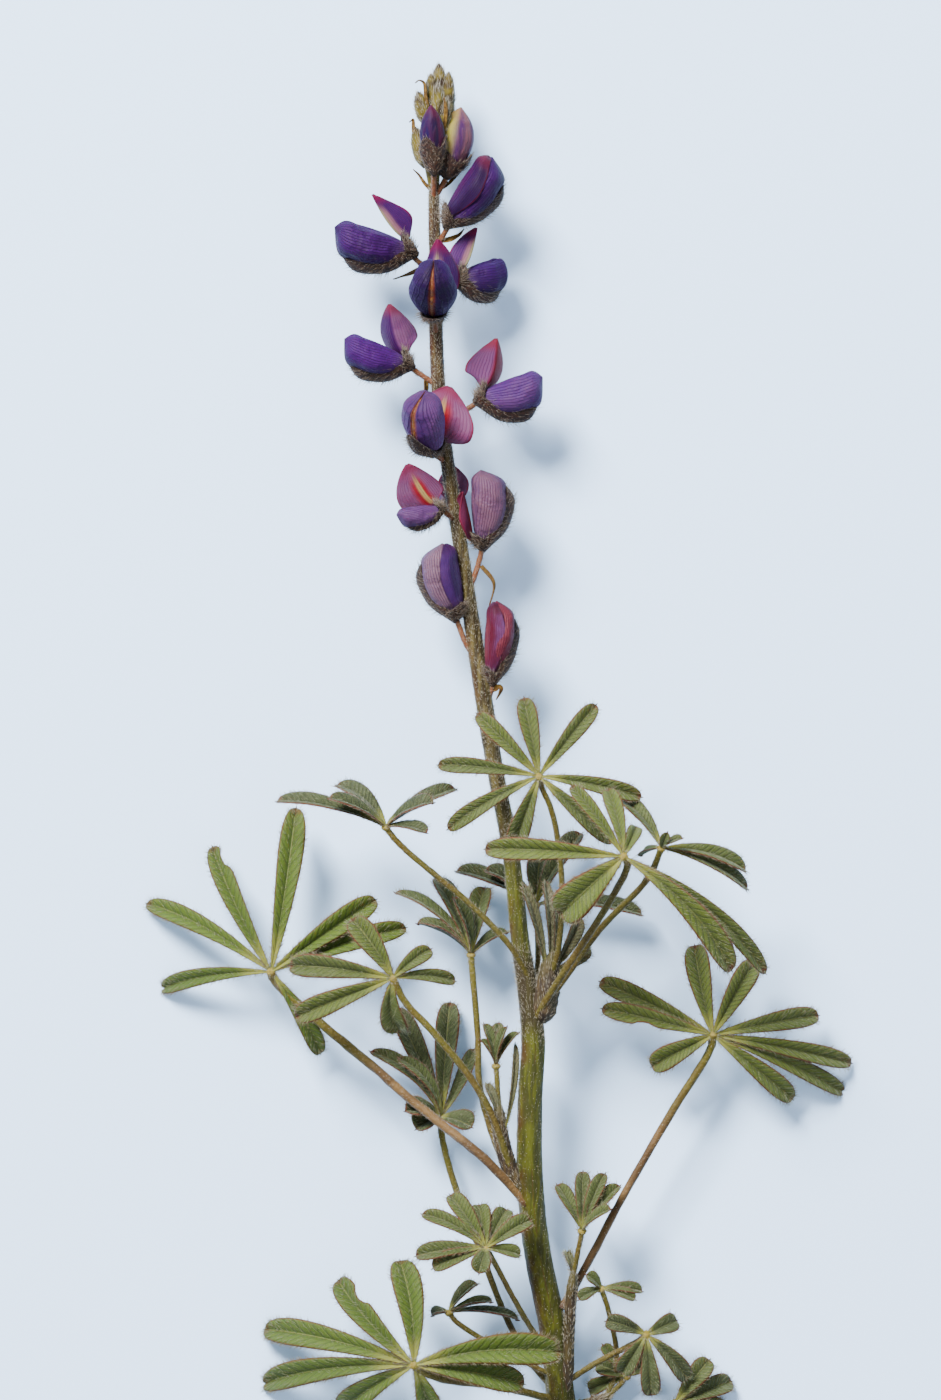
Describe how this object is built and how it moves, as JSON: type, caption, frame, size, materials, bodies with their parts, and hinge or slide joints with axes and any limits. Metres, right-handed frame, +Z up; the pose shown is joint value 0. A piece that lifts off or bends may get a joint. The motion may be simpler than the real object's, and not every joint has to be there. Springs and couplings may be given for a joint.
{
  "type": "cut lupin stem",
  "caption": "Cut flowering stem of a small blue lupin: violet pea flowers, dark hairy calyces and silky palmate leaves, lying down",
  "frame": {"origin": "centre of the part's outline on the surface it lies on", "axes": "+X to the right across the stem, +Y along the stem towards the tip of the spike, +Z up from the surface"},
  "size_m": [0.1058, 0.2057, 0.0296],
  "materials": {
    "stem": "matte olive green skin with fine silvery hairs",
    "shoot": "matte dark brown sheath with grey hairs",
    "leaf": "soft sage green with a silky sheen",
    "calyx": "matte dark red-brown with silvery hairs",
    "petal_fresh": "satin violet-blue petal with fine veins",
    "petal_ageing": "satin mauve petal with fine veins",
    "petal_faded": "thin pinkish mauve petal with crimson and cream",
    "bud": "pale olive buds under silvery hairs"
  },
  "bodies": {
    "root": {"closed_head": "bud", "flower_01_banner": "petal_fresh", "flower_01_calyx": "calyx", "flower_01_wings": "petal_fresh", "flower_02_banner": "petal_fresh", "flower_02_calyx": "calyx", "flower_02_wings": "petal_fresh", "flower_03_banner": "petal_fresh", "flower_03_calyx": "calyx", "flower_03_wings": "petal_fresh", "flower_04_banner": "petal_fresh", "flower_04_calyx": "calyx", "flower_04_wings": "petal_fresh", "flower_05_banner": "petal_fresh", "flower_05_calyx": "calyx", "flower_05_wings": "petal_fresh", "flower_06_banner": "petal_ageing", "flower_06_calyx": "calyx", "flower_06_wings": "petal_ageing", "flower_07_banner": "petal_ageing", "flower_07_calyx": "calyx", "flower_07_wings": "petal_ageing", "flower_08_banner": "petal_ageing", "flower_08_calyx": "calyx", "flower_08_wings": "petal_ageing", "flower_09_banner": "petal_faded", "flower_09_calyx": "calyx", "flower_09_wings": "petal_faded", "flower_10_banner": "petal_ageing", "flower_10_calyx": "calyx", "flower_10_wings": "petal_ageing", "flower_11_banner": "petal_faded", "flower_11_calyx": "calyx", "flower_11_wings": "petal_faded", "flower_12_banner": "petal_ageing", "flower_12_calyx": "calyx", "flower_12_wings": "petal_ageing", "leaf_01": "leaf", "leaf_02": "leaf", "leaf_03": "leaf", "leaf_04": "leaf", "leaf_05": "leaf", "leaf_06": "leaf", "leaf_07": "leaf", "leaf_08": "leaf", "leaf_09": "leaf", "leaf_10": "leaf", "leaf_11": "leaf", "leaf_12": "leaf", "leaf_13": "leaf", "leaf_14": "leaf", "main_stem": "stem", "opening_bud_01_calyx": "calyx", "opening_bud_01_petals": "petal_fresh", "opening_bud_02_calyx": "calyx", "opening_bud_02_petals": "petal_ageing", "side_shoot_left": "shoot", "side_shoot_low": "shoot", "side_shoot_right": "shoot", "side_shoot_top": "shoot"}
  },
  "joints": []
}
